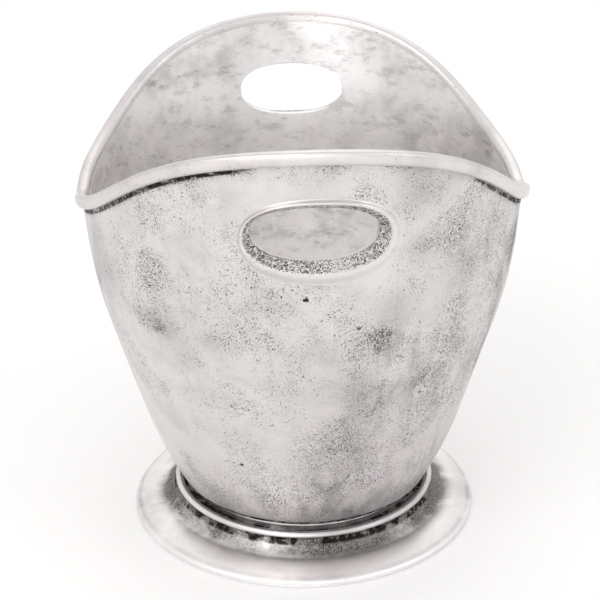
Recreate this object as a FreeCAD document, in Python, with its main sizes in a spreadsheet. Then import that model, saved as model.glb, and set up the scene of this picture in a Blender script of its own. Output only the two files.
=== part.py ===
"""Silver champagne bucket with two raised, pierced ears, on a spreading foot.

Frame: +Z up, origin at the bottom centre of the foot, the ears at -Y (front) and +Y (rear), the
low corners of the rim at -X and +X. Millimetres.
"""
import FreeCAD, Part
import math
import os
import Sketcher

Vector = FreeCAD.Vector

# Driving dimensions: alias, millimetres or degrees, what it is.
DIMENSIONS = [
    ("ring_radius", 103.2, "outer radius of the wire that the foot stands on"),
    ("ring_width", 4.6, "radial width of that wire"),
    ("ring_height", 1.2, "height of that wire"),
    ("ring_round", 0.9, "radius of that wire's outer side"),
    ("foot_radius", 105.0, "outer radius of the foot"),
    ("foot_edge", 4.6, "height of the top of the foot's rounded edge"),
    ("edge_swell", 1.0, "how far that edge swells out"),
    ("flange_radius", 87.2, "radius where the polished flange meets the cove"),
    ("flange_top", 9.2, "height there"),
    ("flange_sweep", 70.0, "radius of the flange's crowned sweep"),
    ("cove_top", 15.6, "height of the top of the cove"),
    ("cove_round", 9.0, "radius of the cove between flange and neck"),
    ("neck_radius", 79.9, "radius of the foot's neck"),
    ("neck_top", 17.0, "height of the neck's flat top, where the body is soldered on"),
    ("neck_bore", 58.0, "radius of the opening in the neck's flat top"),
    ("foot_sheet", 2.6, "thickness of the foot's metal"),
    ("bead_radius", 77.6, "radius of the collar bead's centre line"),
    ("bead_round", 2.3, "radius of the collar bead's section"),
    ("bead_height", 4.1, "height of the collar bead above its flat"),
    ("spigot_radius", 71.8, "outer radius of the body's short spigot in the bead"),
    ("spigot_top", 22.85, "height of the top of the spigot"),
    ("turn_radius", 76.0, "radius where the body has turned outwards"),
    ("turn_top", 26.2, "height there"),
    ("turn_round", 6.7, "radius of that turn"),
    ("waist_radius", 96.6, "body radius at the end of its lower curve"),
    ("waist_top", 74.0, "height there"),
    ("lower_sweep", 237.0, "radius of the lower curve"),
    ("belly_radius", 114.6, "body radius at the start of its upper curve"),
    ("belly_top", 133.0, "height there"),
    ("shoulder_radius", 125.6, "body radius at the end of its upper curve"),
    ("shoulder_top", 194.0, "height there"),
    ("upper_sweep", 262.0, "radius of the upper curve"),
    ("flare_radius", 129.2, "body radius where the ears' straight lean begins"),
    ("flare_top", 226.0, "height there"),
    ("flare_sweep", 306.0, "radius of the curve into that lean"),
    ("ear_radius", 139.2, "body radius at ear_top"),
    ("ear_top", 286.0, "height above the ears, where the blanks end"),
    ("wall", 3.0, "thickness of the body"),
    ("pan_thickness", 2.8, "thickness of the floor pan"),
    ("pan_dish", 3.0, "rise of the floor pan at its middle"),
    ("pan_sweep", 543.0, "radius of that rise"),
    ("rim_low", 207.6, "height of the rim at its two low corners"),
    ("rim_rise", 67.4, "rise of the rim from the low corners to the ears"),
    ("rim_corner", 0.08, "roundness of the low corners, as a share of the radius"),
    ("rim_sag", 0.14, "dip of the rim's flanks, as a share of the rise"),
    ("lip_height", 8.4, "height of the rim moulding"),
    ("lip_proud", 4.3, "how far the moulding stands out from the body"),
    ("grip_height", 227.8, "height of the middle of the hand holes"),
    ("grip_half_width", 33.2, "half the width of a hand hole"),
    ("grip_half_height", 15.3, "half the height of a hand hole"),
    ("grip_end_round", 11.0, "radius of the hand hole's ends"),
    ("border_proud", 2.2, "how far the hand holes' borders stand out"),
    ("border_shift", 3.0, "sideways shift of a border from its hole"),
    ("border_drop", 5.0, "downward shift of a border from its hole"),
    ("border_half_width", 42.5, "half the width of a border"),
    ("border_half_height", 25.0, "half the height of a border"),
    ("border_end_round", 18.0, "radius of a border's ends"),
]

CUTTER_INNER = 95.0
CUTTER_OUTER = 175.0
CUTTER_HEIGHT = 120.0
RIM_POINTS = 96
RIM_SEAM = math.radians(45)
REACH = 200.0

doc = FreeCAD.newDocument("ChampagneBucket")


def make_sheet():
    """Write the driving dimensions into a spreadsheet, one alias a row."""
    sheet = doc.addObject("Spreadsheet::Sheet", "Sizes")
    for row, (alias, value, meaning) in enumerate(DIMENSIONS, start=1):
        sheet.set(f"A{row}", alias)
        sheet.set(f"B{row}", str(value))
        sheet.set(f"C{row}", meaning)
        sheet.setAlias(f"B{row}", alias)
    doc.recompute()
    return sheet


sheet = make_sheet()
ALIASES = sorted((row[0] for row in DIMENSIONS), key=len, reverse=True)


def size(alias):
    """One driving dimension as a number."""
    return float(sheet.get(alias))


def formula(text):
    """The text of a sum of aliases as an expression that FreeCAD reads from the sheet."""
    words = text.split()
    return " ".join(f"Sizes.{word}" if word in ALIASES else word for word in words)


def value(text):
    """The number that such a sum gives."""
    return float(sheet.evalExpression(formula(text)))


def origin_plane(body, role):
    """The origin plane of a body that has this role."""
    for plane in body.Origin.OriginFeatures:
        if plane.Role == role:
            return plane
    raise ValueError(role)


def bind(sketch, kind, items, text):
    """Add one dimension to a sketch and drive it from the sheet."""
    index = sketch.addConstraint(Sketcher.Constraint(kind, *items, value(text)))
    sketch.setExpression(f"Constraints[{index}]", formula(text))


def place_point(sketch, geometry, point, across, up):
    """Drive a point's two coordinates; a "0" puts the point on the sketch's axis."""
    for kind, axis, text in (("DistanceX", -2, across), ("DistanceY", -1, up)):
        if text == "0":
            sketch.addConstraint(Sketcher.Constraint("PointOnObject", geometry, point, axis))
        else:
            bind(sketch, kind, (-1, 1, geometry, point), text)


def arc_between(start, end, radius, bulge):
    """The short arc from start to end; bulge is 1 to swell to the left of that way, else -1."""
    chord = end - start
    side = Vector(-chord.y, chord.x, 0).normalize()
    half = chord.Length / 2
    rise = radius - math.sqrt(radius * radius - half * half)
    middle = (start + end) * 0.5 + side * (rise * bulge)
    return Part.Arc(start, middle, end)


def outline(body, name, corners):
    """A closed outline on the body's XZ plane.

    Each corner gives the sums for its x and z. A third item is the radius of the arc that leads
    to the next corner, and a fourth the side that the arc swells to.
    """
    sketch = body.newObject("Sketcher::SketchObject", name)
    sketch.AttachmentSupport = (origin_plane(body, "XZ_Plane"), [""])
    sketch.MapMode = "FlatFace"
    points = [Vector(value(corner[0]), value(corner[1]), 0) for corner in corners]
    following = points[1:] + points[:1]
    for corner, start, end in zip(corners, points, following):
        if len(corner) == 2:
            sketch.addGeometry(Part.LineSegment(start, end), False)
        else:
            sketch.addGeometry(arc_between(start, end, value(corner[2]), corner[3]), False)
    # A positive bulge runs clockwise, so its arc starts at the far end (point 2).
    first = [2 if len(corner) > 2 and corner[3] > 0 else 1 for corner in corners]
    for index, corner in enumerate(corners):
        before = index - 1 if index else len(corners) - 1
        sketch.addConstraint(
            Sketcher.Constraint("Coincident", before, 3 - first[before], index, first[index])
        )
        place_point(sketch, index, first[index], corner[0], corner[1])
        if len(corner) > 2:
            bind(sketch, "Radius", (index,), corner[2])
    return sketch


def turned(label, corners):
    """A body made by turning an outline once round the Z axis."""
    body = doc.addObject("PartDesign::Body", label)
    sketch = outline(body, f"{label}_profile", corners)
    turn = body.newObject("PartDesign::Revolution", f"{label}_turn")
    turn.Profile = sketch
    turn.ReferenceAxis = (sketch, ["V_Axis"])
    turn.Angle = 360.0
    sketch.Visibility = False
    doc.recompute()
    return body


def oval(body, name, half_width, half_height, end_round, shift, height):
    """An upright oval of four tangent arcs on the body's XZ plane, its middle at (shift, height)."""
    sketch = body.newObject("Sketcher::SketchObject", name)
    sketch.AttachmentSupport = (origin_plane(body, "XZ_Plane"), [""])
    sketch.MapMode = "FlatFace"
    long_round = (
        f"( ( {half_width} - {end_round} ) ^ 2 + {half_height} ^ 2 - {end_round} ^ 2 )"
        f" / ( 2 * ( {half_height} - {end_round} ) )"
    )
    middle = Vector(value(shift), value(height), 0)
    along = value(f"{half_width} - {end_round}")
    below = value(long_round) - value(half_height)
    join = math.atan2(below, along)
    arcs = [
        (Vector(along, 0, 0), value(end_round), -join, join),
        (Vector(0, -below, 0), value(long_round), join, math.pi - join),
        (Vector(-along, 0, 0), value(end_round), math.pi - join, math.pi + join),
        (Vector(0, below, 0), value(long_round), math.pi + join, 2 * math.pi - join),
    ]
    for offset, radius, low, high in arcs:
        circle = Part.Circle(middle + offset, Vector(0, 0, 1), radius)
        sketch.addGeometry(Part.ArcOfCircle(circle, low, high), False)
    for index in range(len(arcs)):
        following = (index + 1) % len(arcs)
        sketch.addConstraint(Sketcher.Constraint("Tangent", index, 2, following, 1))
    for index, sign in ((0, "+"), (2, "-")):
        bind(sketch, "Radius", (index,), end_round)
        across = f"{shift} {sign} ( {half_width} - {end_round} )"
        place_point(sketch, index, 3, across, height)
    for index in (1, 3):
        bind(sketch, "Radius", (index,), long_round)
    return sketch


def rim_curve(name, radius, below):
    """The rim's height round a circle of this radius, lowered by a sum of aliases.

    With s the sine of the angle from the low corners, the height rises from rim_low as |s|, with a
    rounded corner at s = 0 and a dip halfway up each flank.
    """
    corner = size("rim_corner")
    span = math.sqrt(1 + corner**2) - corner
    points = []
    for index in range(RIM_POINTS):
        angle = RIM_SEAM + 2 * math.pi * index / RIM_POINTS
        s = math.sin(angle)
        share = (math.sqrt(s * s + corner**2) - corner) / span
        share -= size("rim_sag") * math.sin(math.pi * s) ** 2
        height = size("rim_low") + size("rim_rise") * share - value(below)
        points.append(Vector(radius * math.cos(angle), radius * math.sin(angle), height))
    curve = Part.BSplineCurve()
    curve.interpolate(Points=points, PeriodicFlag=True)
    feature = doc.addObject("Part::Feature", name)
    feature.Shape = curve.toShape()
    feature.Visibility = False
    return feature


def above_rim(name, below, thickness):
    """The space above the rim's height, lowered by a sum, up to this thickness."""
    inner = rim_curve(f"{name}_inner_curve", CUTTER_INNER, below)
    outer = rim_curve(f"{name}_outer_curve", CUTTER_OUTER, below)
    surface = doc.addObject("Part::RuledSurface", f"{name}_surface")
    surface.Curve1 = (inner, ["Edge1"])
    surface.Curve2 = (outer, ["Edge1"])
    space = doc.addObject("Part::Extrusion", name)
    space.Base = surface
    space.DirMode = "Custom"
    space.Dir = Vector(0, 0, 1)
    if isinstance(thickness, str):
        space.setExpression("LengthFwd", formula(thickness))
    else:
        space.LengthFwd = thickness
    space.Solid = True
    surface.Visibility = False
    doc.recompute()
    return space


def boolean(kind, label, first, second):
    """A Part::Cut or Part::Common of two objects."""
    result = doc.addObject(f"Part::{kind}", label)
    result.Base = first
    result.Tool = second
    first.Visibility = False
    second.Visibility = False
    doc.recompute()
    return result


def sleeve(label, inner, outer):
    """A thin sleeve of the ears' shape, from inner to outer, two sums added to the body's radius."""
    corners = [
        (f"shoulder_radius + {inner}", "shoulder_top"),
        (f"shoulder_radius + {outer}", "shoulder_top", "flare_sweep", 1),
        (f"flare_radius + {outer}", "flare_top"),
        (f"ear_radius + {outer}", "ear_top"),
        (f"ear_radius + {inner}", "ear_top"),
        (f"flare_radius + {inner}", "flare_top", "flare_sweep", -1),
    ]
    return turned(label, corners)


def make_body_wall():
    """The tapered body with its two pierced ears, cut off under the rim moulding."""
    blank = turned(
        "wall_blank",
        [
            ("spigot_radius", "neck_top"),
            ("spigot_radius", "spigot_top", "turn_round", -1),
            ("turn_radius", "turn_top", "lower_sweep", -1),
            ("waist_radius", "waist_top"),
            ("belly_radius", "belly_top", "upper_sweep", -1),
            ("shoulder_radius", "shoulder_top", "flare_sweep", 1),
            ("flare_radius", "flare_top"),
            ("ear_radius", "ear_top"),
            ("ear_radius - wall", "ear_top"),
            ("flare_radius - wall", "flare_top", "flare_sweep", -1),
            ("shoulder_radius - wall", "shoulder_top", "upper_sweep", 1),
            ("belly_radius - wall", "belly_top"),
            ("waist_radius - wall", "waist_top", "lower_sweep", 1),
            ("turn_radius - wall", "turn_top + wall / 2"),
            ("spigot_radius - wall", "spigot_top + wall / 2"),
            ("spigot_radius - wall", "neck_top"),
        ],
    )
    whole = blank.Shape.Volume
    pocket = blank.newObject("PartDesign::Pocket", "hand_holes")
    pocket.Profile = oval(
        blank,
        "hand_hole_outline",
        "grip_half_width",
        "grip_half_height",
        "grip_end_round",
        "0",
        "grip_height",
    )
    pocket.Midplane = True
    pocket.Length = 2 * REACH
    pocket.Profile[0].Visibility = False
    doc.recompute()
    if blank.Shape.Volume > whole - 1000:
        raise RuntimeError("the hand holes cut nothing")
    return boolean("Cut", "body_wall", blank, above_rim("over_wall", "lip_height", CUTTER_HEIGHT))


def make_rim_moulding():
    """The rounded moulding that follows the top edge of the body and its ears."""
    blank = sleeve("moulding_blank", "0 - wall", "lip_proud")
    band = above_rim("moulding_band", "lip_height", "lip_height")
    return boolean("Common", "rim_moulding", blank, band)


def make_handle_border(label, side):
    """The raised border round one hand hole; side is -1 at the front and 1 at the rear."""
    skin = sleeve(f"{label}_skin", "0", "border_proud")
    ring = doc.addObject("PartDesign::Body", f"{label}_ring")
    shift = "border_shift" if side < 0 else "0 - border_shift"
    pad = ring.newObject("PartDesign::Pad", f"{label}_pad")
    pad.Profile = oval(
        ring,
        f"{label}_outline",
        "border_half_width",
        "border_half_height",
        "border_end_round",
        shift,
        "grip_height - border_drop",
    )
    pad.Length = REACH
    pad.Reversed = side > 0
    doc.recompute()
    pocket = ring.newObject("PartDesign::Pocket", f"{label}_pocket")
    pocket.Profile = oval(
        ring,
        f"{label}_hole",
        "grip_half_width",
        "grip_half_height",
        "grip_end_round",
        "0",
        "grip_height",
    )
    pocket.Midplane = True
    pocket.Length = 2 * REACH
    doc.recompute()
    return boolean("Common", label, skin, ring)


def make_floor_pan():
    """The slightly dished disc that closes the bottom of the body."""
    return turned(
        "floor_pan",
        [
            ("0", "neck_top + pan_dish", "pan_sweep", 1),
            ("neck_bore - 1", "neck_top"),
            ("spigot_radius - wall", "neck_top"),
            ("spigot_radius - wall", "neck_top + pan_thickness"),
            ("neck_bore - 1", "neck_top + pan_thickness", "pan_sweep", -1),
            ("0", "neck_top + pan_dish + pan_thickness"),
        ],
    )


def make_collar_bead():
    """The half-round wire soldered round the foot's neck, just under the body."""
    half_flat = "sqrt( bead_round ^ 2 - ( bead_height - bead_round ) ^ 2 )"
    return turned(
        "collar_bead",
        [
            (f"bead_radius - {half_flat}", "neck_top"),
            (f"bead_radius + {half_flat}", "neck_top", "bead_round", -1),
            ("bead_radius", "neck_top + bead_height", "bead_round", -1),
        ],
    )


def make_foot_flange():
    """The spreading foot: rounded edge, crowned flange, cove and flat-topped neck, hollow below."""
    half_edge = "( foot_edge - ring_height ) / 2"
    edge_round = f"( ( {half_edge} ) ^ 2 + edge_swell ^ 2 ) / ( 2 * edge_swell )"
    return turned(
        "foot_flange",
        [
            ("foot_radius - edge_swell", "ring_height", edge_round, -1),
            ("foot_radius - edge_swell", "foot_edge", "flange_sweep", -1),
            ("flange_radius", "flange_top", "cove_round", 1),
            ("neck_radius", "cove_top"),
            ("neck_radius", "neck_top"),
            ("neck_bore", "neck_top"),
            ("neck_bore", "neck_top - foot_sheet"),
            ("neck_radius - foot_sheet", "neck_top - foot_sheet", "cove_round", -1),
            ("flange_radius - foot_sheet", "flange_top - foot_sheet"),
            ("ring_radius - ring_width", "ring_height"),
        ],
    )


def make_foot_ring():
    """The wire under the foot's edge, which the bucket stands on."""
    return turned(
        "foot_ring",
        [
            ("ring_radius - ring_width", "0"),
            ("ring_radius", "0", "ring_round", -1),
            ("ring_radius", "ring_height"),
            ("ring_radius - ring_width", "ring_height"),
        ],
    )


def check(pieces):
    """Stop if any object failed or any sub-part isn't one valid solid."""
    for item in doc.Objects:
        if "Invalid" in item.State or "Error" in item.State:
            raise RuntimeError(f"{item.Label}: {item.State}")
    for piece in pieces:
        shape = piece.Shape
        if shape.isNull() or not shape.isValid() or len(shape.Solids) != 1:
            raise RuntimeError(f"{piece.Label} is not one valid solid")


def write(pieces):
    """Write each sub-part's shape to parts/NODE.step."""
    os.makedirs("parts", exist_ok=True)
    for piece in pieces:
        piece.Shape.exportStep(f"parts/{piece.Label}.step")
        print(f"{piece.Label}: {piece.Shape.Volume / 1000:.1f} cm3")


def main():
    """Build every sub-part, check it and write it."""
    pieces = [
        make_body_wall(),
        make_floor_pan(),
        make_rim_moulding(),
        make_handle_border("front_handle_border", -1),
        make_handle_border("rear_handle_border", 1),
        make_collar_bead(),
        make_foot_flange(),
        make_foot_ring(),
    ]
    check(pieces)
    write(pieces)


main()
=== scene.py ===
"""Looks of a silver champagne bucket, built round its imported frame.

Metres, +Z up. The ears with the hand holes stand at -Y (front) and +Y (rear), and the rim's low
corners at -X and +X. Every piece is one class that builds its mesh and gives it its finish.
"""

import logging
import math
from dataclasses import dataclass, field
from enum import Enum
from typing import Any, Callable, Optional, Union

import bmesh
import bpy
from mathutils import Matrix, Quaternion, Vector, noise


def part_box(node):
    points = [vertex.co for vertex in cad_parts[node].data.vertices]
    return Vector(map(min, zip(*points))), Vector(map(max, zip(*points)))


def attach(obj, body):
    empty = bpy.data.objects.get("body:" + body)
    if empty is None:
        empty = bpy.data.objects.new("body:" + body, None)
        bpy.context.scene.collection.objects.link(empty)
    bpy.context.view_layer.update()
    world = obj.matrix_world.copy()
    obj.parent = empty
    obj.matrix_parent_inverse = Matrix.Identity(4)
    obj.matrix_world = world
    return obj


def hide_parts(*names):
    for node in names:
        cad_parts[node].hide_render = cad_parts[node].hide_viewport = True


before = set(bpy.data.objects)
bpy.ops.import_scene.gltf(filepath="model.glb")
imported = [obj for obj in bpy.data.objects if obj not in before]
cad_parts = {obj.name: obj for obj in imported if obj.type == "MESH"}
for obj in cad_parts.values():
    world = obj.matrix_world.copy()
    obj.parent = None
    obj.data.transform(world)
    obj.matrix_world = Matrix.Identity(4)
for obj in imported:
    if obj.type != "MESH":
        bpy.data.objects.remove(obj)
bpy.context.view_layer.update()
LOG = logging.getLogger("champagne_bucket")

ROOT = "root"
Point = tuple[float, float, float]
Pair = tuple[float, float]
Colour = tuple[float, float, float, float]
Spots = tuple[tuple[Point, float], ...]


class Ear(Enum):
    """The two ears, by the sign of their side along Y."""

    FRONT = -1
    REAR = 1


class Layer(Enum):
    """Names of the values that a mesh carries for its finish."""

    # Seam: real stains and patina, and painted shade under the moulding, over the bead and on its
    # underside.
    SEAM = "seam"
    BEVEL = "bevel"
    INSIDE = "inside"


# Shapes


def smooth_step(low: float, high: float, x: float) -> float:
    """A soft step from 0 at low to 1 at high; low may be the larger."""
    t = min(max((x - low) / (high - low), 0.0), 1.0)
    return t * t * (3 - 2 * t)


def squared_turn(turn: float, fullness: float) -> Pair:
    """A point of a unit circle that is pushed out towards a square.

    Args:
        turn: the angle round the circle.
        fullness: 2 for a circle, more for a squarer one.

    Returns:
        The point's two coordinates, each from -1 to 1.
    """
    x, y = math.cos(turn), math.sin(turn)
    power = 2 / fullness
    return (math.copysign(abs(x) ** power, x), math.copysign(abs(y) ** power, y))


@dataclass(frozen=True)
class Span:
    """One stretch of the body's outline, straight or an arc.

    Attributes:
        start: radius and height of its lower end.
        end: radius and height of its upper end.
        sweep: radius of the arc, or 0 for a straight stretch.
        crowned: whether the arc swells outwards.
    """

    start: Pair
    end: Pair
    sweep: float = 0.0
    crowned: bool = True

    def radius(self, height: float) -> float:
        """The outline's radius.

        Args:
            height: a height in or near the stretch.

        Returns:
            The radius there.
        """
        (r0, z0), (r1, z1) = self.start, self.end
        if self.sweep == 0.0:
            return r0 + (r1 - r0) * (height - z0) / (z1 - z0)
        side = -1.0 if self.crowned else 1.0
        length = math.hypot(r1 - r0, z1 - z0)
        off = math.sqrt(self.sweep**2 - (length / 2) ** 2)
        centre_r = (r0 + r1) / 2 + side * off * (z1 - z0) / length
        centre_z = (z0 + z1) / 2 - side * off * (r1 - r0) / length
        reach = math.sqrt(max(self.sweep**2 - (height - centre_z) ** 2, 0.0))
        return centre_r - side * reach


@dataclass(frozen=True)
class BodyForm:
    """The body's outline, its rim line and its hand holes, shared by several pieces."""

    spans: tuple[Span, ...] = (
        Span((0.0718, 0.02285), (0.0760, 0.0262), 0.0067),
        Span((0.0760, 0.0262), (0.0966, 0.0740), 0.237),
        Span((0.0966, 0.0740), (0.1146, 0.1330)),
        Span((0.1146, 0.1330), (0.1256, 0.1940), 0.262),
        Span((0.1256, 0.1940), (0.1292, 0.2260), 0.306, crowned=False),
        Span((0.1292, 0.2260), (0.1392, 0.2860)),
    )
    wall: float = 0.0030
    rim_low: float = 0.2076
    rim_rise: float = 0.0674
    rim_corner: float = 0.08
    rim_sag: float = 0.14
    lip_height: float = 0.0084
    lip_proud: float = 0.0043
    grip_height: float = 0.2278
    grip_half_width: float = 0.0332
    grip_half_height: float = 0.0153
    grip_fullness: Pair = (2.25, 2.1)
    dent: float = 0.0007

    def radius(self, height: float) -> float:
        """The body's outer radius.

        Args:
            height: any height on the body.

        Returns:
            The radius there.
        """
        for span in self.spans:
            if height <= span.end[1]:
                return span.radius(max(height, self.spans[0].start[1]))
        return self.spans[-1].radius(height)

    def rim(self, angle: float) -> float:
        """The height of the top of the rim.

        Args:
            angle: the angle from the low corner at +X.

        Returns:
            The height.
        """
        s = math.sin(angle)
        corner = self.rim_corner
        share = (math.hypot(s, corner) - corner) / (math.hypot(1, corner) - corner)
        share -= self.rim_sag * math.sin(math.pi * s) ** 2
        return self.rim_low + self.rim_rise * share

    def grip(self, across: float) -> float:
        """Half the height of the hand hole.

        Args:
            across: distance from the hole's middle line.

        Returns:
            The half height, 0 beyond the hole's ends.
        """
        share = abs(across) / self.grip_half_width
        if share >= 1.0:
            return 0.0
        wide, high = self.grip_fullness
        return self.grip_half_height * (1 - share**wide) ** (1 / high)

    def sunk(self, angle: float, height: float) -> float:
        """How far hand work has pushed the metal in.

        Args:
            angle: the angle from the low corner at +X.
            height: the height.

        Returns:
            The depth, never negative.
        """
        spot = Vector((math.cos(angle) * 1.6, math.sin(angle) * 1.6, height * 14))
        fine = Vector((math.cos(angle) * 5, math.sin(angle) * 5, height * 40))
        rough = 0.5 + 0.5 * noise.noise(spot) + 0.22 * noise.noise(fine)
        return self.dent * min(max(rough, 0.0), 1.0)

    def at(self, angle: float, height: float, proud: float = 0.0) -> Point:
        """A point on the dented outer face, moved out by proud."""
        reach = self.radius(height) - self.sunk(angle, height) + proud
        return (reach * math.cos(angle), reach * math.sin(angle), height)


FORM = BodyForm()


@dataclass
class MeshDraft:
    """Points, faces and per-point values of a mesh in the making."""

    points: list[Point] = field(default_factory=list)
    faces: list[tuple[int, ...]] = field(default_factory=list)
    layers: dict[Layer, dict[int, float]] = field(default_factory=dict)

    def add(self, point: Point, **values: float) -> int:
        """Add a point.

        Args:
            point: its place.
            values: its layer values, by the layers' names.

        Returns:
            Its number.
        """
        self.points.append(point)
        number = len(self.points) - 1
        for name, value in values.items():
            self.layers.setdefault(Layer[name.upper()], {})[number] = value
        return number

    def strip(self, first: list[int], second: list[int], closed: bool = False) -> None:
        """Join two rows of points by quads, and by triangles where they share a point.

        Args:
            first: one row.
            second: the other row, of the same length.
            closed: whether the rows run back to their first points.
        """
        last = len(first) if closed else len(first) - 1
        for i in range(last):
            j = (i + 1) % len(first)
            unique = tuple(dict.fromkeys((first[i], first[j], second[j], second[i])))
            if len(unique) > 2:
                self.faces.append(unique)

    def hoop(self, rings: list[list[int]]) -> None:
        """Join closed rings of points, each to the next and the last to the first."""
        for c, ring in enumerate(rings):
            self.strip(ring, rings[(c + 1) % len(rings)], closed=True)

    def make(self, name: str, sharp: float = 38.0) -> bpy.types.Object:
        """Make the object.

        Args:
            name: the piece's name.
            sharp: degrees of turn over which an edge stays crisp.

        Returns:
            The new object, linked into the scene.
        """
        mesh = bpy.data.meshes.new(name)
        mesh.from_pydata(self.points, [], self.faces)
        for layer, values in self.layers.items():
            data = mesh.attributes.new(layer.value, "FLOAT", "POINT").data
            for number, value in values.items():
                data[number].value = value
        mesh.validate()
        mesh.update()
        piece = bpy.data.objects.new(name, mesh)
        bpy.context.scene.collection.objects.link(piece)
        face_outwards(mesh)
        mesh.shade_smooth()
        mesh.set_sharp_from_angle(angle=math.radians(sharp))
        return piece


def face_outwards(mesh: bpy.types.Mesh) -> None:
    """Turn every face of a closed mesh to look outwards.

    Args:
        mesh: the mesh to turn.
    """
    draft = bmesh.new()
    draft.from_mesh(mesh)
    bmesh.ops.recalc_face_normals(draft, faces=draft.faces)
    draft.to_mesh(mesh)
    draft.free()


def settle(piece: bpy.types.Object, finish: "WornSilver", slot: str, *nodes: str) -> None:
    """Dress a piece, ride it on the body, and hide the nodes it stands for.

    Args:
        piece: the piece.
        finish: its finish.
        slot: not used.
        nodes: the nodes that it replaces.
    """
    piece.data.materials.append(finish.paint())
    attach(piece, ROOT)
    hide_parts(*nodes)


# Shader maths

Number = Union[float, "Value"]


class Value:
    """A number that varies over the surface, with the operators that shader maths needs."""

    def __init__(self, paint: "Paint", socket: bpy.types.NodeSocket) -> None:
        """Wrap an output socket of a paint's node tree."""
        self.paint = paint
        self.socket = socket

    def math(self, operation: str, *others: Number, clamp: bool = False) -> "Value":
        """Add a Math node whose first input is this value."""
        return self.paint.maths(operation, self, *others, clamp=clamp)

    def __add__(self, other: Number) -> "Value":
        """Add."""
        return self.math("ADD", other)

    __radd__ = __add__

    def __mul__(self, other: Number) -> "Value":
        """Multiply."""
        return self.math("MULTIPLY", other)

    __rmul__ = __mul__

    def __sub__(self, other: Number) -> "Value":
        """Subtract."""
        return self.math("SUBTRACT", other)

    def __rsub__(self, other: Number) -> "Value":
        """Subtract this from a number."""
        return self.paint.maths("SUBTRACT", other, self)

    def most(self, other: Number) -> "Value":
        """The larger of this and another."""
        return self.math("MAXIMUM", other)

    def clamped(self) -> "Value":
        """Kept between 0 and 1."""
        return self.math("ADD", 0.0, clamp=True)

    def step(self, low: float, high: float) -> "Value":
        """A soft step from 0 at low to 1 at high; low may be the larger.

        Args:
            low: where the step begins.
            high: where it ends.

        Returns:
            The step.
        """
        return self.paint.add(
            "ShaderNodeMapRange",
            {"interpolation_type": "SMOOTHSTEP"},
            {"Value": self, "From Min": low, "From Max": high},
        )


class Paint:
    """One material and the helpers that fill its node tree."""

    def __init__(self, name: str) -> None:
        """Start an empty material with a Principled shader.

        Args:
            name: the material's name.
        """
        self.material = bpy.data.materials.new(name)
        self.material.use_nodes = True
        self.tree = self.material.node_tree
        self.tree.nodes.clear()
        self.output = self.tree.nodes.new("ShaderNodeOutputMaterial")
        self.shader = self.tree.nodes.new("ShaderNodeBsdfPrincipled")
        self.tree.links.new(self.shader.outputs["BSDF"], self.output.inputs["Surface"])

    def add(
        self,
        kind: str,
        settings: Optional[dict[str, Any]] = None,
        sockets: Optional[dict[Any, Any]] = None,
        output: Any = 0,
    ) -> Value:
        """Add a node.

        Args:
            kind: the node's type.
            settings: attributes, set first.
            sockets: values or links of its inputs, by name or number.
            output: the output to return.

        Returns:
            That output, wrapped.
        """
        node = self.tree.nodes.new(kind)
        for name, setting in (settings or {}).items():
            setattr(node, name, setting)
        for key, content in (sockets or {}).items():
            if isinstance(content, Value):
                self.tree.links.new(content.socket, node.inputs[key])
            else:
                node.inputs[key].default_value = content
        return Value(self, node.outputs[output])

    def maths(self, operation: str, *items: Number, clamp: bool = False) -> Value:
        """Add a Math node on these items."""
        settings = {"operation": operation, "use_clamp": clamp}
        return self.add("ShaderNodeMath", settings, dict(enumerate(items)))

    def place(self) -> Value:
        """The place on the object, in metres."""
        return self.add("ShaderNodeTexCoord", output="Object")

    def stretched(self, place: Value, scale: Point) -> Value:
        """A place scaled by axis."""
        return self.add("ShaderNodeVectorMath", {"operation": "MULTIPLY"}, {0: place, 1: scale})

    def grain(self, place: Value, scale: float, detail: float = 4.0, rough: float = 0.55) -> Value:
        """Noise of about this many grains a metre."""
        sockets = {"Vector": place, "Scale": scale, "Detail": detail, "Roughness": rough}
        return self.add("ShaderNodeTexNoise", sockets=sockets)

    def cells(self, place: Value, scale: float) -> Value:
        """Distance to the middle of scattered cells."""
        return self.add("ShaderNodeTexVoronoi", sockets={"Vector": place, "Scale": scale})

    def layer(self, layer: Layer) -> Value:
        """A value that the mesh carries."""
        return self.add("ShaderNodeAttribute", {"attribute_name": layer.value}, output="Fac")

    def mix(self, factor: Number, first: Any, second: Any) -> Value:
        """Mix two colours."""
        sockets = {"Factor": factor, 6: first, 7: second}
        return self.add("ShaderNodeMix", {"data_type": "RGBA"}, sockets, output=2)

    def near(self, place: Value, spot: Point) -> Value:
        """Distance of a place from a spot."""
        settings = {"operation": "DISTANCE"}
        return self.add("ShaderNodeVectorMath", settings, {0: place, 1: spot}, output="Value")

    def finish(self, color: Value, roughness: Value, height: Value, depth: float) -> None:
        """Feed the shader.

        Args:
            color: the base colour.
            roughness: the roughness.
            height: the height of the fine relief, about -1 to 1.
            depth: what a height of 1 stands for, in metres.
        """
        bump = self.add("ShaderNodeBump", sockets={"Height": height, "Distance": depth})
        for name, value in (("Base Color", color), ("Roughness", roughness), ("Normal", bump)):
            self.tree.links.new(value.socket, self.shader.inputs[name])
        self.shader.inputs["Metallic"].default_value = 1.0


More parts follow.
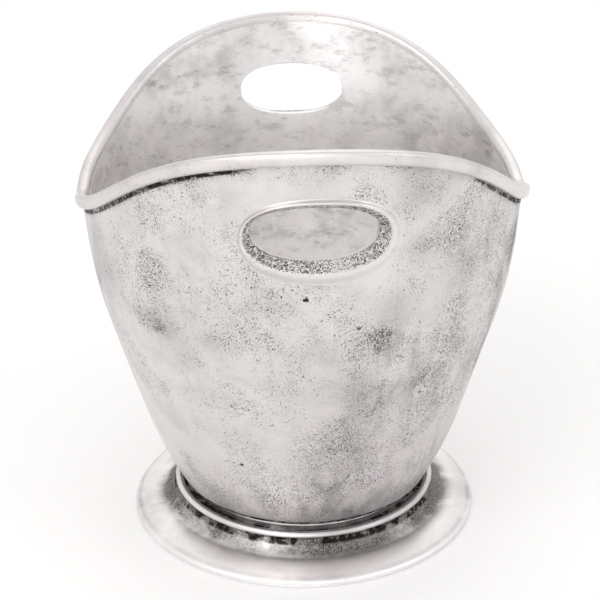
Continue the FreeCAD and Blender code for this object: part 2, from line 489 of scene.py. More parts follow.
class Surface:
    """The noises and mesh values that every finish is worked out from."""

    def __init__(self, paint: Paint) -> None:
        """Add the shared nodes.

        Args:
            paint: the paint to add them to.
        """
        place = paint.place()
        self.paint = paint
        self.place = place
        self.seam = paint.layer(Layer.SEAM)
        self.bevel = paint.layer(Layer.BEVEL)
        self.inside = paint.layer(Layer.INSIDE)
        self.broad = paint.grain(place, 11.0, 3.0)
        self.cloudy = paint.grain(place, 34.0, 6.0, 0.62)
        self.blush = paint.grain(place, 7.0, 2.0)
        self.crowd = paint.grain(place, 30.0, 6.0, 0.68)
        self.speck = paint.grain(place, 520.0, 3.0, 0.6)
        self.fine = paint.grain(place, 1150.0, 2.0, 0.6)
        self.mottled = paint.grain(paint.stretched(place, (1.0, 1.0, 2.4)), 60.0, 7.0, 0.72)
        self.streaks = paint.grain(paint.stretched(place, (1.0, 1.0, 0.10)), 85.0, 5.0, 0.62)
        self.brushed = paint.grain(paint.stretched(place, (1.0, 1.0, 9.0)), 120.0, 3.0, 0.7)

    def spotted(self, spots: Spots, unrest: Number, outer: float, inner: float) -> Value:
        """A value that is 1 on each spot and falls to 0 away from it.

        Args:
            spots: the spots, each with its reach.
            unrest: what is added to the distance, so that the edges aren't round.
            outer: where the value comes down to 0, in reaches.
            inner: where it leaves 1, in reaches.

        Returns:
            The value.
        """
        found = self.inside * 0.0
        for spot, reach in spots:
            away = self.paint.near(self.place, spot) + unrest
            found = found.most(away.step(reach * outer, reach * inner))
        return found


def on_body(*marks: Point) -> Spots:
    """Spots on the outer face.

    Args:
        marks: each spot's degrees from the front ear towards +X, its height and its reach.

    Returns:
        The spots.
    """
    return tuple((FORM.at(math.radians(turn - 90), height), reach) for turn, height, reach in marks)


@dataclass(frozen=True)
class WornSilver:
    """Silvered cast metal, worn, with stains and patina, and with painted shade and painted light.

    Attributes:
        name: the material's name.
        bright: colour where the silver is clean.
        dull: colour of the grey patina.
        blush: the warmer tint in broad, faint patches.
        oxide: colour of the black oxide in the pits.
        lining_with_painted_light: colour of the clean silver inside the bucket, made lighter to
            paint in bounced light.
        base_roughness: roughness where it is clean.
        relief: depth of the fine relief.
        pitting: how much of the surface is pitted, 0 to 1.
        clouds: how strong the grey patina is, 0 to 1.
        stained_and_shaded: how grey the metal turns beside a seam, from patina and from painted
            shade.
        dashes: how much the black seam line is broken into dashes, 0 to 1.
        patches: spots with worn, rough cast patches, each with a radius.
        clusters: spots where the pits crowd, each with a radius.
        side_streaks_and_shade: spots with dark upright streaks, each with a radius; on the sides
            partly painted shade.
        smudges: spots with dark smudges, each with a radius.
        chips: small black chips in the metal, each with a radius.
    """

    name: str
    bright: Colour = (0.76, 0.735, 0.718, 1)
    dull: Colour = (0.27, 0.258, 0.252, 1)
    blush: Colour = (0.74, 0.70, 0.71, 1)
    oxide: Colour = (0.035, 0.031, 0.029, 1)
    lining_with_painted_light: Colour = (0.98, 0.96, 0.962, 1)
    base_roughness: float = 0.36
    relief: float = 0.0007
    pitting: float = 0.30
    clouds: float = 0.20
    stained_and_shaded: float = 0.30
    dashes: float = 0.3
    patches: Spots = ()
    clusters: Spots = ()
    side_streaks_and_shade: Spots = ()
    smudges: Spots = ()
    chips: Spots = ()

    def crowding(self, s: Surface, rough_patch: Value) -> Value:
        """How closely the pits stand.

        Args:
            s: the surface.
            rough_patch: where the rough cast patches lie.

        Returns:
            The crowding, 0 to 1.
        """
        pitted = (s.crowd.step(0.36, 0.72) * 0.7 + 0.3) * self.pitting
        fields = s.spotted(self.clusters, (s.cloudy - 0.5) * 0.050, 1.35, 0.45)
        pitted = pitted.most(fields * (s.crowd.step(0.34, 0.66) * 0.28 + 0.40))
        pitted = pitted.most(rough_patch * s.crowd.step(0.34, 0.56) * 0.75) * (1 - s.inside * 0.7)
        pitted = pitted.most(s.seam.step(0.05, 0.60) * (s.crowd.step(0.36, 0.60) * 0.50 + 0.20))
        return pitted.most(s.bevel * (s.crowd.step(0.30, 0.60) * 0.34 + 0.46)).clamped()

    def holes(self, s: Surface, crowding: Value) -> Value:
        """The black pits and chips, and seam lines of dark joints and painted shadow. Pits come in
        three sizes.

        Args:
            s: the surface.
            crowding: how closely the pits stand.

        Returns:
            1 where the metal is black.
        """
        p, place = s.paint, s.place
        small = (crowding * 0.78 - p.cells(place, 1250.0)).step(0.0, 0.13)
        medium = (crowding * 0.36 - p.cells(place, 470.0) - s.cloudy * 0.02).step(0.0, 0.05)
        lone = p.cells(place, 260.0).step(0.150, 0.090) * s.crowd.step(0.40, 0.56) * self.pitting
        lone = lone * (1 - s.inside * 0.85)
        shade = s.speck.step(0.34, 0.60) * 0.6 + 0.4
        pits = (small * 0.80).most(medium).most(lone * 1.4).clamped() * shade
        broken = p.grain(place, 300.0, 4.0, 0.65).step(0.34, 0.54)
        gaps = p.grain(place, 70.0, 3.0).step(0.44, 0.54) * self.dashes + (1 - self.dashes)
        # Black line along the seams: partly dark joints, partly painted shadow under the moulding
        # and at the slit over the bead.
        line = s.seam.step(0.58, 0.80) * (broken * gaps * 1.25).clamped()
        chipped = s.spotted(self.chips, (s.speck - 0.5) * 0.004, 1.0, 0.4)
        return pits.most(line).most(chipped * 0.95).clamped()

    def tarnish_and_shade(self, s: Surface, crowding: Value, rough_patch: Value, specks: Value) -> Value:
        """How grey the silver has turned, with painted shade beside the seams and on the sides
        added in.

        Args:
            s: the surface.
            crowding: how closely the pits stand.
            rough_patch: where the rough cast patches lie.
            specks: the finest grey specks.

        Returns:
            The greying from patina and painted shade, 0 to 1.
        """
        # Dark upright streaks: partly streaky patina, partly painted shade that darkens the sides.
        streak_and_side_shade = s.spotted(self.side_streaks_and_shade, 0.0, 1.0, 0.25) * s.streaks.step(0.42, 0.66)
        smudge = s.spotted(self.smudges, (s.cloudy - 0.5) * 0.060, 1.0, 0.0)
        smudge = smudge * s.cloudy.step(0.30, 0.60)
        # Grey beside the seams: patina in the foot's cove, painted shade under the moulding and
        # over the bead.
        by_seam = s.seam * (s.cloudy.step(0.34, 0.66) * 1.1 + 0.45)
        in_lining = s.cloudy.step(0.40, 0.74) * 0.20 + s.mottled.step(0.50, 0.64) * 0.24
        clouded = s.cloudy.step(0.46, 0.80) + s.broad.step(0.44, 0.66) * 0.5
        clouded = clouded + s.mottled.step(0.52, 0.72) * 0.35
        grey = clouded * self.clouds + by_seam * self.stained_and_shaded + s.inside * in_lining
        grey = grey + rough_patch * 0.20 + crowding * 0.12 * (1 - s.bevel)
        grey = grey + streak_and_side_shade * 0.38 + smudge * 0.30 + s.streaks.step(0.55, 0.75) * 0.10
        return (grey + specks * 0.46 + s.bevel * 0.24).clamped()

    def paint(self) -> bpy.types.Material:
        """Build the material.

        Returns:
            The material.
        """
        p = Paint(self.name)
        s = Surface(p)
        rough_patch = s.spotted(self.patches, (s.cloudy - 0.5) * 0.050, 1.0, 0.35)
        crowding = self.crowding(s, rough_patch)
        holes = self.holes(s, crowding)
        specks = s.fine.step(0.54, 0.74) * (crowding * 0.8 + 0.16)
        tarnish_and_shade = self.tarnish_and_shade(s, crowding, rough_patch, specks)

        clean = p.mix(s.blush.step(0.40, 0.66), self.bright, self.blush)
        # The inside turns to a lighter colour that paints in the light bounced round inside.
        clean = p.mix(s.inside * 0.8, clean, self.lining_with_painted_light)
        color = p.mix(holes, p.mix(tarnish_and_shade, clean, self.dull), self.oxide)
        roughness = tarnish_and_shade * 0.20 + s.broad.step(0.35, 0.7) * 0.08 + s.brushed * 0.07
        roughness = (roughness + holes * 0.30 + self.base_roughness).clamped()
        height = holes * -0.8 + specks * -0.25 + s.cloudy * 0.35
        height = height + crowding * s.speck * -0.5 + s.brushed * 0.05
        p.finish(color, roughness, height, self.relief)
        return p.material


BODY_FINISH = WornSilver(
    "body_worn_silver_painted_light_and_shade",
    pitting=0.62,
    clouds=0.26,
    patches=on_body(
        (-72, 0.172, 0.017), (-43, 0.165, 0.013), (19, 0.160, 0.012), (66, 0.190, 0.017),
    ),
    # Streaks mostly on the sides: partly streaky patina, partly painted shade darkening the sides.
    side_streaks_and_shade=on_body(
        (74, 0.175, 0.062), (52, 0.205, 0.040), (30, 0.130, 0.050), (64, 0.130, 0.042),
        (-80, 0.165, 0.046), (-88, 0.120, 0.040), (10, 0.040, 0.060), (50, 0.045, 0.050),
        (110, 0.170, 0.050), (250, 0.150, 0.050),
    ),
    smudges=on_body(
        (180, 0.264, 0.016), (180, 0.254, 0.016), (118, 0.210, 0.034), (-112, 0.205, 0.034),
        (26, 0.214, 0.020), (44, 0.196, 0.020), (20, 0.178, 0.020), (-40, 0.160, 0.018),
        (-22, 0.246, 0.026), (0, 0.262, 0.026), (24, 0.246, 0.026), (12, 0.120, 0.030),
        (-68, 0.190, 0.040),
    ),
    chips=on_body(
        (-2, 0.190, 0.0018), (11, 0.171, 0.0016), (-24, 0.073, 0.0014), (-12, 0.106, 0.0010),
        (33, 0.118, 0.0012),
    ),
    clusters=on_body(
        (26, 0.256, 0.026), (44, 0.216, 0.042), (50, 0.160, 0.056), (34, 0.110, 0.052),
        (10, 0.076, 0.046), (18, 0.145, 0.036), (-14, 0.056, 0.030), (-42, 0.195, 0.018),
        (-24, 0.125, 0.014), (60, 0.110, 0.040), (62, 0.215, 0.036), (170, 0.150, 0.060),
        (205, 0.090, 0.050),
    ),
)
RIM_FINISH = WornSilver(
    "rim_worn_silver_painted_shade",
    bright=(0.76, 0.735, 0.72, 1),
    base_roughness=0.32,
    clouds=0.26,
)
BORDER_FINISH = WornSilver("border_pitted_silver", base_roughness=0.28)
BEAD_FINISH = WornSilver(
    "bead_silver",
    bright=(0.82, 0.80, 0.79, 1),
    base_roughness=0.32,
    clouds=0.3,
    dashes=0.8,
)
FOOT_FINISH = WornSilver(
    "foot_polished_silver_with_painted_light",
    # Much lighter than the body's silver: partly the foot's polish, partly painted light on the
    # flange.
    bright=(0.97, 0.96, 0.955, 1),
    blush=(0.96, 0.93, 0.935, 1),
    base_roughness=0.28,
    pitting=0.10,
    clouds=0.10,
    stained_and_shaded=1.35,
    dashes=1.0,
    smudges=(
        ((-0.096, -0.015, 0.008), 0.080),
        ((0.096, -0.005, 0.008), 0.072),
        ((0.0, 0.096, 0.008), 0.060),
    ),
)


# Pieces


@dataclass
class BodyWall:
    """The tapered body with its two pierced ears.

    Attributes:
        columns_between: columns from one hand hole to the next.
        columns_in_grip: columns across a hand hole.
        rows_below: rows under the ears' part.
        rows_to_grip: rows from there to the middle of the hand holes.
        rows_above: rows from the holes to the moulding.
        low_spread: how much closer the lowest rows stand.
        split: height where the ears' part begins.
        hidden: how far the wall runs up into the moulding.
        eased: how much the hand hole widens at the inner face.
        joint_shadow_band: where under the moulding its painted contact shadow begins and is full.
        left_joint_shadow: where the black line of joint and shadow fades in towards the corner at
            -X.
        plain_joint_shadow: strength of that line and shadow between them.
        low_wall_grey: heights over the foot where the wall's darkening begins and is full.
        gap_shade: heights where the painted black shade of the slit over the bead begins and is
            full.
    """

    columns_between: int = 116
    columns_in_grip: int = 40
    rows_below: int = 74
    rows_to_grip: int = 34
    rows_above: int = 22
    low_spread: float = 1.15
    split: float = 0.150
    hidden: float = 0.003
    eased: float = 0.0010
    joint_shadow_band: Pair = (0.0068, 0.0002)
    left_joint_shadow: Pair = (0.05, 0.35)
    right_joint_shadow: Pair = (0.45, 0.75)
    plain_joint_shadow: float = 0.55
    low_wall_grey: Pair = (0.058, 0.030)
    low_wall_grey_strength: float = 0.42
    gap_shade: Pair = (0.0276, 0.0260)
    finish: WornSilver = BODY_FINISH

    def columns(self) -> list[tuple[float, Optional[float]]]:
        """Where the columns of points stand.

        Returns:
            Every column's angle, with its share across the hand hole or None outside it.
        """
        reach = math.asin(FORM.grip_half_width / FORM.radius(FORM.grip_height))
        found: list[tuple[float, Optional[float]]] = []
        for ear in (Ear.FRONT, Ear.REAR):
            middle = math.pi / 2 * ear.value
            for i in range(self.columns_in_grip + 1):
                share = math.sin(math.pi / 2 * (2 * i / self.columns_in_grip - 1))
                across = share * FORM.grip_half_width
                angle = middle + math.asin(across / FORM.radius(FORM.grip_height))
                found.append((angle, share))
            for i in range(1, self.columns_between):
                angle = middle + reach + (math.pi - 2 * reach) * i / self.columns_between
                found.append((angle, None))
        return found

    def middle_height(self, angle: float) -> float:
        """The height of the row that passes through the hand holes.

        Args:
            angle: the column's angle.

        Returns:
            The height.
        """
        ear_top = FORM.rim(math.pi / 2) - FORM.lip_height
        share = (FORM.grip_height - self.split) / (ear_top - self.split)
        even = self.split + share * (FORM.rim(angle) - FORM.lip_height - self.split)
        off = abs(math.cos(angle)) * FORM.radius(FORM.grip_height)
        blend = smooth_step(FORM.grip_half_width, 2.6 * FORM.grip_half_width, off)
        return FORM.grip_height + (even - FORM.grip_height) * blend

    def face(self, draft: MeshDraft, inset: float, grown: float) -> tuple[list, list]:
        """Add one face of the wall.

        Args:
            draft: the mesh in the making.
            inset: distance in from the outer face.
            grown: how much larger the hand holes are in this face.

        Returns:
            The lower and upper point numbers of every column.
        """
        lower: list[list[int]] = []
        upper: list[list[int]] = []
        floor = FORM.spans[0].start[1]
        low = [(i / self.rows_below) ** self.low_spread for i in range(self.rows_below)]
        for angle, share in self.columns():
            top = FORM.rim(angle) - FORM.lip_height + self.hidden
            middle = self.middle_height(angle)
            half = 0.0 if share is None else FORM.grip(share * FORM.grip_half_width)
            if share is not None and abs(share) < 0.999:
                half += grown
            heights = [floor + (self.split - floor) * t for t in low]
            heights += [
                self.split + (middle - half - self.split) * i / self.rows_to_grip
                for i in range(self.rows_to_grip + 1)
            ]
            lower.append([self.point(draft, angle, z, inset) for z in heights])
            first = middle + half
            rows = [first + (top - first) * i / self.rows_above for i in range(self.rows_above + 1)]
            # Beside the hand holes the two parts of a column share a point.
            shared = lower[-1][-1] if half == 0.0 else self.point(draft, angle, first, inset)
            upper.append([shared] + [self.point(draft, angle, z, inset) for z in rows[1:]])
        return lower, upper

    def point(self, draft: MeshDraft, angle: float, height: float, inset: float) -> int:
        """Add one point with its seam values: painted shade and a darkening towards the foot.

        Args:
            draft: the mesh in the making.
            angle: the point's angle.
            height: its height.
            inset: distance in from the outer face.

        Returns:
            The point's number.
        """
        place = FORM.at(angle, height, -inset)
        if inset > FORM.wall / 2:
            return draft.add(place, seam=0.0, inside=1.0)
        # Under the moulding: a dark joint line with painted contact shadow, strongest at the low
        # corners.
        under_lip = FORM.rim(angle) - FORM.lip_height - height
        left = smooth_step(*self.left_joint_shadow, -math.cos(angle))
        right = smooth_step(*self.right_joint_shadow, math.cos(angle))
        seam = max(left, right, self.plain_joint_shadow) * smooth_step(*self.joint_shadow_band, under_lip)
        # Darker towards the foot.
        low_wall_grey = self.low_wall_grey_strength * smooth_step(*self.low_wall_grey, height)
        # Painted black shade on the wall's lowest band, where the slit over the bead is dark.
        seam = max(seam, low_wall_grey, smooth_step(*self.gap_shade, height))
        return draft.add(place, seam=seam, inside=0.0)

    def build(self) -> list[bpy.types.Object]:
        """Make the wall as one closed mesh.

        Returns:
            The piece.
        """
        draft = MeshDraft()
        outer = self.face(draft, 0.0, 0.0)
        inner = self.face(draft, FORM.wall, self.eased)
        count = len(outer[0])
        for side in (outer, inner):
            for part in side:
                for c in range(count):
                    draft.strip(part[c], part[(c + 1) % count])
        for c in range(count):
            n = (c + 1) % count
            edges = [(0, 0), (1, -1)]
            if any(outer[0][k][-1] != outer[1][k][0] for k in (c, n)):
                edges += [(0, -1), (1, 0)]
            for part, row in edges:
                here, there = outer[part], inner[part]
                draft.faces.append((here[c][row], here[n][row], there[n][row], there[c][row]))
        piece = draft.make("body_shell")
        settle(piece, self.finish, "body_metal", "body_wall")
        return [piece]


@dataclass
class RimMoulding:
    """The rounded moulding along the top edge.

    Attributes:
        columns: sections round the rim.
        around: points round one section.
        fullness: how square the section is.
        taper: how much the section draws in at its foot.
        inset: how far it stays inside the plain moulding's sides.
        sharp: degrees of turn over which an edge stays crisp.
    """

    columns: int = 420
    around: int = 30
    fullness: float = 3.0
    taper: float = 0.0009
    inset: float = 0.0001
    sharp: float = 70.0
    finish: WornSilver = RIM_FINISH

    def section(self, draft: MeshDraft, angle: float) -> list[int]:
        """Add the section at one angle.

        Args:
            draft: the mesh in the making.
            angle: the angle from the low corner at +X.

        Returns:
            The numbers of its points.
        """
        half_width = (FORM.lip_proud + FORM.wall) / 2 - self.inset
        middle = (FORM.lip_proud - FORM.wall) / 2
        half_height = FORM.lip_height / 2
        ring: list[int] = []
        for i in range(self.around):
            turn = 2 * math.pi * i / self.around
            across, up = squared_turn(turn, self.fullness)
            low = max(-up, 0.0)
            proud = middle + half_width * across
            seam = 0.0
            # Painted shade on the moulding's lower edge by the joint, stronger towards the low
            # corners.
            if math.cos(turn) > 0:
                proud -= self.taper * low**1.5
                seam = 0.8 * smooth_step(0.80, 1.0, low) * (0.4 + 0.6 * abs(math.cos(angle)))
            height = FORM.rim(angle) - half_height + half_height * up
            ring.append(draft.add(FORM.at(angle, height, proud), seam=seam))
        return ring

    def build(self) -> list[bpy.types.Object]:
        """Sweep the moulding's section round the rim.

        Returns:
            The piece.
        """
        draft = MeshDraft()
        turns = [2 * math.pi * c / self.columns for c in range(self.columns)]
        draft.hoop([self.section(draft, angle) for angle in turns])
        piece = draft.make("rim_moulding_round", self.sharp)
        settle(piece, self.finish, "polished_metal", "rim_moulding")
        return [piece]


@dataclass
class HandleBorder:
    """The raised border round one hand hole, with its bevel towards the hole.

    Attributes:
        across: points from the hole to the outer line.
        half_width: half the outer line's width.
        fullness: how square the two lines are.
        shift: how far the outer line sits to the right of the hole.
        drop: how far it sits below the hole.
        proud: height of the ridge over the wall.
        lowest: height of the bevel's level at the hole.
        rooted: how far the underside sinks into the wall.
        ridge: where the ridge runs, 0 at the hole and 1 at the outer line.
        sharp: degrees of turn over which an edge stays crisp.
    """

    ear: Ear
    around: int = 160
    across: int = 16
    half_width: float = 0.0425
    half_height: float = 0.0250
    fullness: float = 2.3
    shift: float = 0.0030
    drop: float = 0.0050
    proud: float = 0.0023
    lowest: float = 0.0001
    rooted: float = 0.0006
    ridge: float = 0.60
    sharp: float = 50.0
    finish: WornSilver = BORDER_FINISH

    def place(self, across: float, height: float, proud: float) -> Point:
        """A point of the border.

        Args:
            across: distance across the ear, to the right as seen from outside.
            height: the height.
            proud: distance out from the wall.

        Returns:
            The point.
        """
        middle = math.pi / 2 * self.ear.value
        angle = middle + math.asin(min(max(across / FORM.radius(height), -1.0), 1.0))
        return FORM.at(angle, height, proud)

    def line(self, turn: float, outer: bool) -> Pair:
        """A point of the inner or outer line.

        Args:
            turn: the angle round the hole.
            outer: whether the outer line is meant.

        Returns:
            Its distance across and its height.
        """
        x, y = squared_turn(turn, self.fullness)
        if outer:
            middle = FORM.grip_height - self.drop
            return (self.shift + self.half_width * x, middle + self.half_height * y)
        return (FORM.grip_half_width * x, FORM.grip_height + FORM.grip_half_height * y)

    def rise(self, share: float) -> float:
        """The border's height over the wall.

        Args:
            share: 0 at the hole and 1 at the outer line.

        Returns:
            The height.
        """
        if share < self.ridge:
            return self.lowest + (self.proud - self.lowest) * smooth_step(-0.25, self.ridge, share)
        return self.proud * smooth_step(1.0, self.ridge, share)

    def section(self, draft: MeshDraft, turn: float) -> list[int]:
        """Add the section at one turn round the hole.

        Args:
            draft: the mesh in the making.
            turn: the angle round the hole.

        Returns:
            The numbers of its points.
        """
        inner, outer = self.line(turn, False), self.line(turn, True)
        ring: list[int] = []
        for j in range(self.across + 1):
            share = j / self.across
            x = inner[0] + (outer[0] - inner[0]) * share
            z = inner[1] + (outer[1] - inner[1]) * share
            pitted = smooth_step(self.ridge * 0.96, self.ridge * 0.66, share)
            ring.append(draft.add(self.place(x, z, self.rise(share)), bevel=pitted))
        ring.append(draft.add(self.place(*outer, -self.rooted), bevel=0.0))
        ring.append(draft.add(self.place(*inner, -self.rooted), bevel=1.0))
        return ring

    def build(self) -> list[bpy.types.Object]:
        """Make the border as a closed ring.

        Returns:
            The piece.
        """
        draft = MeshDraft()
        side = self.ear.name.lower()
        turns = [2 * math.pi * i / self.around for i in range(self.around)]
        draft.hoop([self.section(draft, turn) for turn in turns])
        piece = draft.make(f"{side}_border_rounded", self.sharp)
        settle(piece, self.finish, "border_metal", f"{side}_handle_border")
        return [piece]


def arc(centre: Pair, radius: float, start: float, end: float, steps: int) -> list[Pair]:
    """Points of an arc in the plane of radius and height.

    Args:
        centre: its centre.
        radius: its radius.
        start: the first angle, in degrees.
        end: the last angle.
        steps: how many steps to take.

    Returns:
        The points.
    """
    turns = [math.radians(start + (end - start) * i / steps) for i in range(steps + 1)]
    return [(centre[0] + radius * math.cos(t), centre[1] + radius * math.sin(t)) for t in turns]


def bowed(start: Pair, end: Pair, rise: float, steps: int) -> list[Pair]:
    """Points of a bow from start to end.

    Args:
        start: the first point.
        end: the last point.
        rise: how far its middle stands over the straight line.
        steps: how many steps to take.

    Returns:
        The points.
    """
    shares = [i / steps for i in range(steps + 1)]
    (r0, z0), (r1, z1) = start, end
    return [(r0 + (r1 - r0) * t, z0 + (z1 - z0) * t + 4 * rise * t * (1 - t)) for t in shares]


@dataclass
class TurnedPiece:
    """A piece turned round the Z axis, with the small unevenness of hand work.

    Attributes:
        name: the piece's name.
        slot: its material slot.
        node: the node that it replaces.
        outline: its closed outline, by radius and height.
        finish: its finish.
        columns: points round the axis.
        sharp: degrees of turn over which an edge stays crisp.
        wobble: how far the metal is pushed in at most.
        stain_and_shade: the seam value at a radius and height, patina on the foot and painted shade
            on the bead.
        inside: the value of the inside layer.
    """

    name: str
    slot: str
    node: str
    outline: list[Pair]
    finish: WornSilver
    columns: int = 288
    sharp: float = 40.0
    wobble: float = 0.0
    stain_and_shade: Callable[[float, float], float] = lambda radius, height: 0.0
    inside: float = 0.0

    def point(self, draft: MeshDraft, angle: float, radius: float, height: float) -> int:
        """Add one point of the turned outline with its value of patina and painted shade.

        Args:
            draft: the mesh in the making.
            angle: the point's angle.
            radius: its radius before hand work.
            height: its height.

        Returns:
            Its number.
        """
        spot = Vector((math.cos(angle) * 2.5, math.sin(angle) * 2.5, height * 60 + radius * 20))
        push = self.wobble * (0.5 + 0.5 * noise.noise(spot))
        reach = max(radius - push, 0.0)
        place = (reach * math.cos(angle), reach * math.sin(angle), height)
        return draft.add(place, seam=self.stain_and_shade(radius, height), inside=self.inside)

    def build(self) -> bpy.types.Object:
        """Turn the outline and dress the piece.

        Returns:
            The piece.
        """
        draft = MeshDraft()
        poles = {z: self.point(draft, 0.0, 0.0, z) for r, z in self.outline if r == 0.0}
        rings: list[list[int]] = []
        for c in range(self.columns):
            angle = 2 * math.pi * c / self.columns
            rings.append(
                [poles[z] if r == 0.0 else self.point(draft, angle, r, z) for r, z in self.outline]
            )
        draft.hoop(rings)
        piece = draft.make(self.name, self.sharp)
        settle(piece, self.finish, self.slot, self.node)
        return piece


@dataclass
class Foot:
    """The spreading foot with its ring, the collar bead and the floor pan over it.

    Attributes:
        crown: how far the flange swells over a straight slope.
        flange: radius and height where the cove meets the flange.
        cove_top: radius and height of the cove's top.
        cove_sag: how far the cove sags under a straight slope.
        edge_line: radii over which the faint line inside the edge comes and goes.
        neck_top: height of the flat neck.
        wire: width of the ring under the foot.
        wire_round: rounding of that ring's foot.
        bead_lift: height of the bead's middle over the neck.
        pan_rise: how far the pan's middle stands over its rim.
        pan_flat: radius where the pan's dish begins.
        pan_tip: radius of the small flat at its middle.
    """

    edge_radius: float = 0.1050
    edge_round: float = 0.0018
    crown: float = 0.0011
    flange: Pair = (0.0872, 0.0092)
    cove_top: Pair = (0.0799, 0.0156)
    cove_sag: float = 0.0011
    edge_line: tuple[float, float, float, float] = (0.1010, 0.1022, 0.1030, 0.1042)
    neck_top: float = 0.0170
    neck_bore: float = 0.0580
    sheet: float = 0.0026
    under_edge: float = 0.0986
    under_bow: float = 0.0004
    wire: float = 0.0048
    wire_round: float = 0.0006
    bead_radius: float = 0.0776
    bead_round: float = 0.0023
    bead_lift: float = 0.0018
    pan_rise: float = 0.0030
    pan_thickness: float = 0.0028
    pan_flat: float = 0.057
    pan_tip: float = 0.001
    pan_radius: float = 0.0687
    pan_bow: float = 0.0007

    def flange_outline(self) -> list[Pair]:
        """The foot's outline, from its edge over the flange and cove to the neck and back.

        Returns:
            Its points.
        """
        ring_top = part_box("foot_ring")[1][2]
        middle = (self.edge_radius - self.edge_round, ring_top + self.edge_round)
        edge = arc(middle, self.edge_round, -90, 62, 10)
        flange = bowed(edge[-1], self.flange, self.crown, 14)[1:]
        cove = bowed(self.flange, self.cove_top, -self.cove_sag, 10)[1:]
        neck = [
            (self.cove_top[0] - 0.0003, self.neck_top - 0.0003),
            (self.cove_top[0] - 0.0008, self.neck_top),
            (self.neck_bore, self.neck_top),
            (self.neck_bore, self.neck_top - self.sheet),
            (self.cove_top[0] - self.sheet, self.neck_top - self.sheet),
        ]
        inner = (self.flange[0] - self.sheet, self.flange[1] - self.sheet)
        under = bowed(inner, (self.under_edge, ring_top), self.under_bow, 8)
        return edge + flange + cove + neck + under

    def flange_stain(self, radius: float, height: float) -> float:
        """Dark patina in the cove and on the neck, and a faint line inside the rounded edge.

        Args:
            radius: a radius on the foot.
            height: its height.

        Returns:
            The stain, 0 to 1.
        """
        grey = smooth_step(self.flange[0] + 0.009, self.flange[0] - 0.004, radius)
        line = smooth_step(self.cove_top[0] + 0.0012, self.cove_top[0] + 0.0001, radius)
        outside = smooth_step(self.flange[1] - 0.004, self.flange[1] + 0.002, height)
        first, second, third, fourth = self.edge_line
        faint = smooth_step(first, second, radius) * smooth_step(fourth, third, radius)
        return max((0.57 * grey + 0.43 * line) * outside, 0.13 * faint)

    def bead_underside_shade(self, radius: float, height: float) -> float:
        """Painted dark shade on the bead's underside."""
        middle = self.neck_top + self.bead_lift
        return smooth_step(middle + 0.0006, middle - 0.001, height)

    def ring_outline(self) -> list[Pair]:
        """The outline of the ring under the foot.

        Returns:
            Its points.
        """
        low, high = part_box("foot_ring")
        outer, inner = high[0], high[0] - self.wire
        small = self.wire_round
        lip = arc((outer - small, small), small, -90, 90, 6)
        return lip + [(inner, high[2]), (inner, low[2])]

    def pan_outline(self) -> list[Pair]:
        """The outline of the dished floor pan.

        Returns:
            Its points.
        """
        low, high = self.neck_top, self.neck_top + self.pan_thickness
        under, over = low + self.pan_rise, self.neck_top + self.pan_rise + self.pan_thickness
        return [
            (0.0, under),
            *bowed((self.pan_tip, under), (self.pan_flat, low), self.pan_bow, 12),
            (self.pan_radius, low),
            (self.pan_radius, high),
            *bowed((self.pan_flat, high), (self.pan_tip, over), self.pan_bow, 12),
            (0.0, over),
        ]

    def build(self) -> list[bpy.types.Object]:
        """Make the foot's four pieces.

        Returns:
            The pieces.
        """
        bead_middle = (self.bead_radius, self.neck_top + self.bead_lift)
        flange = TurnedPiece(
            "foot_flange_crowned", "foot_metal", "foot_flange", self.flange_outline(), FOOT_FINISH,
            sharp=50.0, wobble=0.0002, stain_and_shade=self.flange_stain,
        )
        ring = TurnedPiece(
            "foot_wire", "foot_metal", "foot_ring", self.ring_outline(), FOOT_FINISH
        )
        bead_outline = arc(bead_middle, self.bead_round, -51.5, 231.5, 20)
        bead = TurnedPiece(
            "collar_wire", "polished_metal", "collar_bead", bead_outline, BEAD_FINISH,
            sharp=60.0, wobble=0.0003, stain_and_shade=self.bead_underside_shade,
        )
        pan = TurnedPiece(
            "floor_disc", "body_metal", "floor_pan", self.pan_outline(), BODY_FINISH, inside=1.0
        )
        return [piece.build() for piece in (flange, ring, bead, pan)]


# Studio


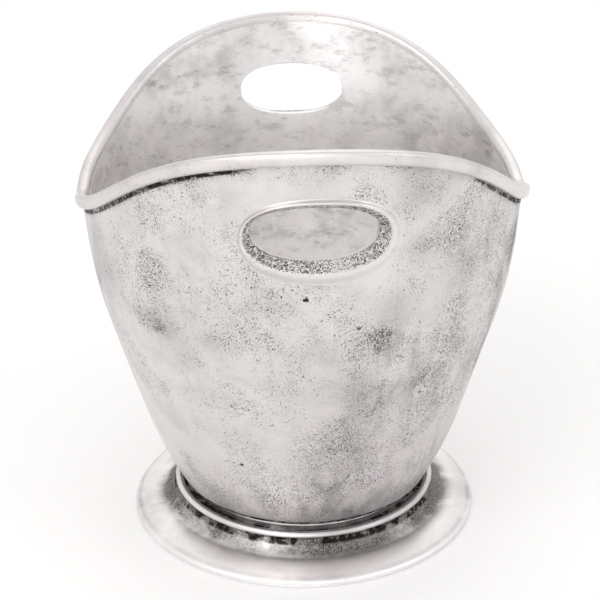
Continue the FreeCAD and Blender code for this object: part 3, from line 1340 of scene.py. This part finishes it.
@dataclass
class Studio:
    """A pale sweep, soft lamps and the camera.

    Attributes:
        distance: from the camera to what it aims at.
        azimuth: degrees that the camera stands round from the front, towards +X.
        elevation: degrees over the floor.
        roll: degrees that it leans.
        lens: focal length in millimetres.
        aim: what it aims at.
        half_floor: half the floor's side.
        floor_grey: how light the floor is.
        sky_colour: the room's soft light.
        sky_strength: its strength.
        lit: what the lamps look at.
    """

    distance: float = 0.975
    azimuth: float = -2.8
    elevation: float = 23.99
    roll: float = -0.42
    lens: float = 97.94
    aim: Point = (-0.0015, 0.0, 0.1344)
    half_floor: float = 6.0
    floor_grey: float = 0.93
    sky_colour: Colour = (1.0, 0.99, 0.985, 1)
    sky_strength: float = 0.93
    lit: Point = (0.0, 0.0, 0.14)

    def sweep(self) -> None:
        """Lay the pale floor."""
        half, grey = self.half_floor, self.floor_grey
        corners = [(-half, -half, 0), (half, -half, 0), (half, half, 0), (-half, half, 0)]
        mesh = bpy.data.meshes.new("floor_sweep")
        mesh.from_pydata(corners, [], [(0, 1, 2, 3)])
        floor = bpy.data.objects.new("floor_sweep", mesh)
        bpy.context.scene.collection.objects.link(floor)
        material = bpy.data.materials.new("pale_sweep")
        material.use_nodes = True
        shader = material.node_tree.nodes["Principled BSDF"]
        shader.inputs["Base Color"].default_value = (grey, grey, grey, 1)
        shader.inputs["Roughness"].default_value = 0.9
        mesh.materials.append(material)

    def lamp(self, name: str, place: Point, size: float, power: float) -> None:
        """Hang one square soft lamp that looks at the bucket.

        Args:
            name: the lamp's name.
            place: where it hangs.
            size: its side.
            power: its power in watts.
        """
        light = bpy.data.lights.new(name, "AREA")
        light.size = size
        light.energy = power
        lamp = bpy.data.objects.new(name, light)
        lamp.location = place
        aim = Vector(self.lit) - Vector(place)
        lamp.rotation_euler = aim.to_track_quat("-Z", "Y").to_euler()
        bpy.context.scene.collection.objects.link(lamp)

    def sky(self) -> None:
        """Fill the room with soft white light."""
        world = bpy.data.worlds.new("studio")
        world.use_nodes = True
        background = world.node_tree.nodes["Background"]
        background.inputs["Color"].default_value = self.sky_colour
        background.inputs["Strength"].default_value = self.sky_strength
        bpy.context.scene.world = world

    def camera(self) -> None:
        """Set up the camera."""
        data = bpy.data.cameras.new("camera")
        data.lens = self.lens
        camera = bpy.data.objects.new("camera", data)
        turn, tilt = math.radians(self.azimuth), math.radians(self.elevation)
        flat = math.cos(tilt)
        back = Vector((math.sin(turn) * flat, -math.cos(turn) * flat, math.sin(tilt)))
        camera.location = Vector(self.aim) + back * self.distance
        look = (-back).to_track_quat("-Z", "Y")
        lean = Quaternion((0.0, 0.0, 1.0), math.radians(self.roll))
        camera.rotation_mode = "QUATERNION"
        camera.rotation_quaternion = look @ lean
        bpy.context.scene.collection.objects.link(camera)
        bpy.context.scene.camera = camera

    def build(self) -> None:
        """Build the whole studio."""
        self.sweep()
        self.sky()
        self.lamp("key_lamp", (-1.1, -1.3, 1.7), 1.2, 9.0)
        self.lamp("fill_lamp", (1.4, -0.8, 1.2), 1.0, 3.0)
        self.lamp("back_lamp", (0.2, 1.5, 1.6), 1.4, 4.0)
        self.lamp("low_lamp", (-0.3, -1.5, 0.5), 1.2, 4.5)
        self.camera()
        bpy.context.scene.view_settings.view_transform = "Standard"


def main() -> None:
    """Build every sub-assembly, then the studio."""
    logging.basicConfig(level=logging.INFO)
    makers = [BodyWall(), RimMoulding(), *(HandleBorder(ear) for ear in Ear), Foot()]
    for maker in makers:
        for piece in maker.build():
            LOG.info("%s: %d faces", piece.name, len(piece.data.polygons))
    Studio().build()


if __name__ == "__main__":
    main()
